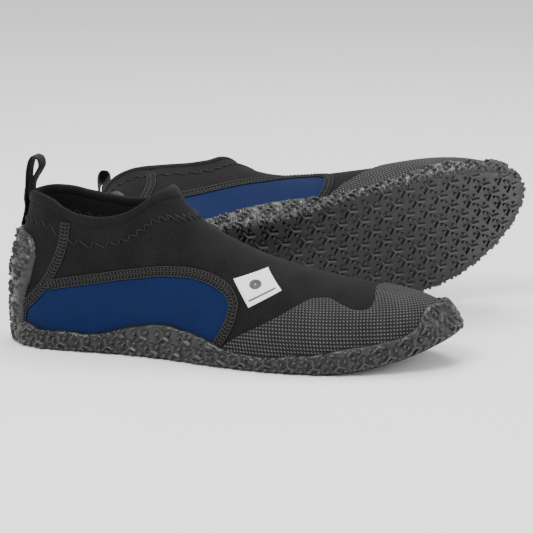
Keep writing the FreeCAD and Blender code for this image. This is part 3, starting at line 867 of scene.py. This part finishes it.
def wall_sheet():
    """Side wall of the rubber cup from the tread's edge to the rim, with its moulded relief."""
    theta = np.linspace(0, 2 * math.pi, 1501)
    middle = skin(theta, np.full(theta.shape, 12.0), np.full(theta.shape, RUBBER))
    run = np.concatenate([[0], np.cumsum(np.linalg.norm(np.diff(middle, axis=0), axis=1))])
    low = spring(middle[:, 0]) + 0.5
    high = rim_height(middle[:, 0]) + 0.5 * np.sin(run / 6.1) * np.sin(run / 23.0 + 1)
    share = np.linspace(0, 1, 52)[:, None]
    levels = low[None, :] + (high - low)[None, :] * share
    width = (high - low)[None, :] * share
    flat = np.stack([np.broadcast_to(run, levels.shape), width], axis=-1).reshape(-1, 2)
    count = int(run[-1] / LUG_PITCH)
    pitch = run[-1] / count
    centres = [np.array([k * pitch, 4.6 + 0.5 * math.sin(k * 2.1)]) for k in range(count + 1)]
    centres += [np.array([(k + 0.5) * pitch, 13.2 + 0.6 * math.sin(k * 1.7)]) for k in range(count)]
    knobs = [np.array([k * KNOB_PITCH, 1.7]) for k in range(int(run[-1] / KNOB_PITCH) + 1)]
    relief = star_field(flat, centres, math.radians(100), 1.5, 0.92, knobs)
    relief = relief + 0.28 * crumple(flat, 4, 6.0) + 0.08 * crumple(flat, 9, 2.4) - 0.3
    down = np.clip((levels - low[None, :]) / 3.0, 0, 1)
    up = np.clip((high[None, :] - levels) / 2.6, 0, 1)
    out = RUBBER * (0.5 + 0.5 * np.sqrt(1 - (1 - down) ** 2)) * np.sqrt(1 - (1 - up) ** 2 * 0.97)
    fade = smooth_step(up * 1.2) * smooth_step(down * 3 + 0.5)
    out = out - 0.35 + relief.reshape(levels.shape) * fade
    points = skin(np.broadcast_to(theta, levels.shape), levels, out)
    # The relief height goes in as the second surface coordinate; the rubber shader paints shade into the
    # pockets from it.
    return grid_sheet(points, np.broadcast_to(run, levels.shape), relief.reshape(levels.shape) * fade)


def patch_sheet():
    """Rounded rubber patch up the back of the heel."""
    theta = np.linspace(-1.9, 1.9, 260)
    levels = np.linspace(9, 76, 130)
    tt, zz = np.meshgrid(theta, levels)
    base = skin(tt, zz, np.full(tt.shape, 0.0))
    girth = np.linalg.norm(np.diff(base, axis=1), axis=-1)
    girth = np.concatenate([np.zeros((len(levels), 1)), np.cumsum(girth, axis=1)], axis=1)
    girth -= girth[:, [130]]
    flat = np.stack([girth, zz], axis=-1).reshape(-1, 2)
    field = inside(flat, PATCH_AREA * [PATCH_GIRTH, 1])
    centres = [np.array([x * 14.5, 22 + r * 12.5]) for r in range(5) for x in (-1.5, -0.5, 0.5, 1.5)]
    centres = [c + np.array([7.2 * (round((c[1] - 22) / 12.5) % 2), 0]) for c in centres]
    relief = star_field(flat, centres, math.radians(90), 1.5)
    relief = relief + 0.28 * crumple(flat, 12, 6.0) + 0.08 * crumple(flat, 15, 2.4) - 0.3
    edge = np.clip(field / 3.0, 0, 1)
    out = (RUBBER - 0.35) * np.sqrt(1 - (1 - edge) ** 2) + relief * smooth_step(field / 3.0)
    points = skin(tt, zz, out.reshape(tt.shape))
    # The relief height, kept as the second surface coordinate, drives the painted shade in the pockets of the
    # rubber.
    height = (relief * smooth_step(field / 3.0)).reshape(tt.shape)
    return grid_sheet(points, girth, height).clip(field + 0.2)


def sole_edge():
    """Outline of the tread, just inside the foot of the wall."""
    theta = np.linspace(0, 2 * math.pi, 361)[:-1]
    probe = skin(theta, np.full(theta.shape, 12.0), np.full(theta.shape, RUBBER))
    level = spring(probe[:, 0]) + 0.5
    return skin(theta, level, np.full(theta.shape, RUBBER * 0.5 - 0.35))


def arch_hollow(x, y):
    """Depth of the shallow hollow under the arch."""
    return 2.4 * np.exp(-((x - 105) / 30) ** 2 - ((y - 22) / 17) ** 2)


def tread_plate(edge):
    """Underside of the sole with a shallow hollow under the arch."""
    xs = np.arange(-2, 300, 2.2)
    ys = np.arange(-56, 58, 2.2)
    xx, yy = np.meshgrid(xs, ys)
    field = inside(np.stack([xx.ravel(), yy.ravel()], axis=1), edge[:, :2])
    within = np.clip(field, 0, None).reshape(xx.shape)
    turn_down = (LUG_HEIGHT - 0.5) * np.exp(-(within / 1.6) ** 2)
    zz = spring(xx) + LUG_HEIGHT + arch_hollow(xx, yy) - turn_down
    return grid_sheet(np.stack([xx, yy, zz], axis=-1), xx, yy, flip=True).clip(field)


def star_lug(x, y, height):
    """One Y-shaped lug with sloping sides, from an outline at its foot and one at its top."""
    rings = []
    for half, arm, level in ((0.95, LUG_ARM, 0.0), (0.75, LUG_ARM - 0.15, -height * 0.75),
                             (0.45, LUG_ARM - 0.5, -height)):
        ring = []
        for k in range(3):
            angle = 2 * math.pi * k / 3
            along = np.array([math.cos(angle), math.sin(angle)])
            across = np.array([-along[1], along[0]])
            fork = np.array([math.cos(angle + math.pi / 3), math.sin(angle + math.pi / 3)])
            ring.append(along * arm - across * half * 0.75)
            ring.append(along * (arm + 0.35))
            ring.append(along * arm + across * half * 0.75)
            ring.append(fork * (half * 1.25))
        rings.append([(x + p[0], y + p[1], level) for p in ring])
    points = np.array(rings).reshape(-1, 3)
    size = len(rings[0])
    faces = []
    for level in range(2):
        for i in range(size):
            j = (i + 1) % size
            faces.append((level * size + i, (level + 1) * size + i, (level + 1) * size + j, level * size + j))
    faces.append(tuple(2 * size + i for i in range(size))[::-1])
    return points, faces


def dot_lug(x, y, radius, height):
    rings = []
    for share, level in ((1.0, 0.0), (0.92, -height * 0.6), (0.6, -height * 0.92)):
        angles = np.linspace(0, 2 * math.pi, 11)[:-1]
        ring_x = x + radius * share * np.cos(angles)
        ring_y = y + radius * share * np.sin(angles)
        rings.append(np.column_stack([ring_x, ring_y, np.full(10, level)]))
    points = np.vstack(rings + [np.array([[x, y, -height]])])
    faces = []
    for level in range(2):
        for i in range(10):
            j = (i + 1) % 10
            faces.append((level * 10 + i, (level + 1) * 10 + i, (level + 1) * 10 + j, level * 10 + j))
    faces += [(20 + i, 30, 20 + (i + 1) % 10) for i in range(10)]
    return points, faces


def make_tread(side, edge):
    """Staggered rows of Y-shaped lugs with three round studs about each."""
    parts = []
    spots = []
    for row in range(-5, 6):
        for column in range(-1, 20):
            spots.append((LUG_MARGIN + LUG_PITCH * (column + 0.5 * (row % 2)), row * LUG_ROW))
    spots = np.array(spots)
    depth = inside(spots, edge[:, :2])
    for (x, y), room in zip(spots, depth):
        if room > 3.2:
            parts.append(star_lug(x, y, LUG_HEIGHT * (1.0 if room > 6 else 0.8)))
        for k in range(3):
            angle = math.pi / 3 + 2 * math.pi * k / 3
            dx, dy = x + STUD_REACH * math.cos(angle), y + STUD_REACH * math.sin(angle)
            if inside(np.array([[dx, dy]]), edge[:, :2])[0] > 1.8:
                parts.append(dot_lug(dx, dy, STUD_RADIUS, LUG_HEIGHT))
    points, faces = weld(parts)
    arch = arch_hollow(points[:, 0], points[:, 1])
    points[:, 2] += spring(points[:, 0]) + LUG_HEIGHT + 0.05 + arch * 0.8
    make_piece("tread_lugs", side, points, faces, "tread")


def make_outsole(side):
    wall = wall_sheet()
    patch = patch_sheet()
    edge = sole_edge()
    sheet_piece("outsole", side, wall, "rubber", nodes=["outsole"])
    sheet_piece("heel_patch", side, patch, "rubber")
    # the sole plate carries painted shade: a darker copy of the tread rubber between the lugs
    sheet_piece("sole_plate", side, tread_plate(edge), "sole_ground_painted_shade")
    make_tread(side, edge)


# ---------------------------------------------------------------- inside
def lathe_faces(rings):
    """Faces that join closed rings of equal count, each to the next."""
    points = np.array(rings)
    around = points.shape[1]
    faces = []
    for i in range(points.shape[0] - 1):
        for j in range(around):
            j2 = (j + 1) % around
            faces.append((i * around + j, i * around + j2, (i + 1) * around + j2, (i + 1) * around + j))
    return points.reshape(-1, 3), faces


def make_footbed(side):
    """Foam footbed: a thin crowned closed pad with a raised rim."""
    theta = np.linspace(0, 2 * math.pi, 161)[:-1]
    edge = skin(theta, np.full(theta.shape, 14.0), np.full(theta.shape, -3.6))[:, :2]
    centre = np.column_stack([np.clip(edge[:, 0], 26, 268), plan_middle(np.clip(edge[:, 0], 26, 268))])
    rings, levels = [], []
    for share, level in ((0.0, 10.7), (0.35, 10.7), (0.7, 10.8), (0.9, 11.2), (0.985, 11.4), (1.0, 9.5),
                         (0.97, 7.2), (0.5, 7.0), (0.0, 7.0)):
        ring = centre + (edge - centre) * share
        rings.append(np.column_stack([ring, np.full(len(ring), level) + spring(ring[:, 0])]))
    points, faces = lathe_faces(rings)
    pad = make_piece("footbed", side, points, faces, "foam", nodes=["footbed"])


def make_board(side):
    """Thin stiff board between the rubber and the footbed."""
    theta = np.linspace(0, 2 * math.pi, 161)[:-1]
    edge = skin(theta, np.full(theta.shape, 14.0), np.full(theta.shape, -3.6))[:, :2]
    centre = np.column_stack([np.clip(edge[:, 0], 26, 268), plan_middle(np.clip(edge[:, 0], 26, 268))])
    rings = []
    for share, level in ((0.0, 6.7), (0.99, 6.7), (1.0, 6.0), (0.99, 5.3), (0.0, 5.3)):
        ring = centre + (edge - centre) * share
        rings.append(np.column_stack([ring, np.full(len(ring), level) + spring(ring[:, 0])]))
    points, faces = lathe_faces(rings)
    make_piece("insole_board", side, points, faces, "board", nodes=["insole_board"])


# ---------------------------------------------------------------- pull tab
TAB_WIDTH, WEBBING = 12.0, 1.5


def ribbon(path, width, thick):
    """Flat webbing swept along a path in the plane y = 0, with rounded edges."""
    path = np.asarray(path, float)
    run = np.gradient(path, axis=0)
    run /= np.linalg.norm(run, axis=1, keepdims=True)
    normal = np.stack([-run[:, 1], run[:, 0]], axis=1)
    ring = []
    for angle in np.linspace(0, 2 * math.pi, 17)[:-1]:
        across = math.copysign(abs(math.cos(angle)) ** 0.25, math.cos(angle)) * width / 2
        over = math.copysign(abs(math.sin(angle)) ** 0.7, math.sin(angle)) * thick / 2
        ring.append((across, over))
    rows = []
    for across, over in ring:
        spots = path + normal * over
        rows.append(np.column_stack([spots[:, 0], np.full(len(path), across), spots[:, 1]]))
    points = np.array(rows)
    count, length = points.shape[:2]
    faces = []
    for i in range(count):
        for j in range(length - 1):
            i2 = (i + 1) % count
            faces.append((i * length + j, i * length + j + 1, i2 * length + j + 1, i2 * length + j))
    faces.append(tuple(i * length for i in range(count))[::-1])
    faces.append(tuple(i * length + length - 1 for i in range(count)))
    travel = np.concatenate([[0], np.cumsum(np.linalg.norm(np.diff(path, axis=0), axis=1))])
    uv = np.column_stack([np.repeat([a for a, _ in ring], length), np.tile(travel, count)])
    return points.reshape(-1, 3), faces, uv


def make_tab(side):
    """Webbing up the back of the heel that folds over into a standing loop."""
    levels = np.linspace(HEEL_PATCH[0][1] + 0.6, 98.5, 22)
    back = skin(np.zeros(22), levels, 1.3 + 1.6 * smooth_step((levels - 86) / 7))
    strap = np.column_stack([back[:, 0], levels])
    points, faces, uv = ribbon(strap, TAB_WIDTH, WEBBING * 1.3)
    make_piece("pull_tab_base", side, points, faces, "webbing", nodes=["pull_tab_base"], uv=uv)
    foot = strap[-1]
    loop = [foot + (0.3, -3), foot + (0.2, 0.5), foot + (0.4, 5), foot + (0.9, 11), foot + (2.4, 17.5),
            foot + (5.2, 21), foot + (8.6, 19.6), foot + (9.6, 15.6), foot + (7.6, 11), foot + (4.6, 6.4),
            foot + (2.6, 1.6), foot + (2.2, -2.5)]
    points, faces, uv = ribbon(resample(loop, 0.9), TAB_WIDTH, WEBBING)
    piece = make_piece("pull_tab_loop", side, points, faces, "webbing", body=f"{side}_tab",
                       nodes=["pull_tab_loop"], uv=uv)
    piece.parent = None
    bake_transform(piece)


# ---------------------------------------------------------------- the pair
for shoe_side in ("right", "left"):
    make_panels(shoe_side)
    make_toe_cap(shoe_side)
    make_lining(shoe_side)
    make_binding(shoe_side)
    make_seams(shoe_side)
    make_zigzag(shoe_side)
    make_emblem(shoe_side)
    make_outsole(shoe_side)
    make_footbed(shoe_side)
    make_board(shoe_side)
    make_tab(shoe_side)


# ---------------------------------------------------------------- floor, light and camera
def make_floor():
    bpy.ops.mesh.primitive_plane_add(size=8, location=(0, 0, -0.0002))
    floor = bpy.context.active_object
    floor.name = "floor"
    s = Shader("floor_paint")
    tone = s.noise(6, 2.0)
    floor.data.materials.append(s.finish(s.ramp(tone, [(0.3, grey(0.9)), (0.7, grey(0.92))]), 0.9, None))


def area_light(name, location, target, size, power):
    light = bpy.data.lights.new(name, "AREA")
    light.shape = "DISK"
    light.size = size
    light.energy = power
    lamp = bpy.data.objects.new(name, light)
    lamp.location = location
    lamp.rotation_euler = (Vector(target) - Vector(location)).to_track_quat("-Z", "Y").to_euler()
    bpy.context.collection.objects.link(lamp)


def make_light():
    world = bpy.data.worlds.new("studio")
    world.use_nodes = True
    world.node_tree.nodes["Background"].inputs["Color"].default_value = (1, 1, 1, 1)
    world.node_tree.nodes["Background"].inputs["Strength"].default_value = 0.9
    bpy.context.scene.world = world
    area_light("key", (-0.5, -0.9, 1.3), (0, 0, 0.05), 0.9, 26)
    area_light("fill", (1.2, -0.7, 0.7), (0, 0, 0.05), 0.8, 9)
    area_light("top", (0.2, 0.6, 1.4), (0, 0.05, 0.05), 0.9, 16)


def make_camera():
    """Camera at about 12 degrees above the horizon, from the side of the standing shoe."""
    camera = bpy.data.objects.new("camera", bpy.data.cameras.new("camera"))
    bpy.context.collection.objects.link(camera)
    elevation = math.radians(12.26)
    distance = 1.581
    target = Vector((-0.0052, -0.0148, 0.0451))
    camera.location = target + Vector((0, -math.cos(elevation), math.sin(elevation))) * distance
    camera.rotation_euler = (target - camera.location).to_track_quat("-Z", "Y").to_euler()
    camera.data.sensor_width = 36
    camera.data.lens = 163.5
    bpy.context.scene.camera = camera


make_floor()
make_light()
make_camera()
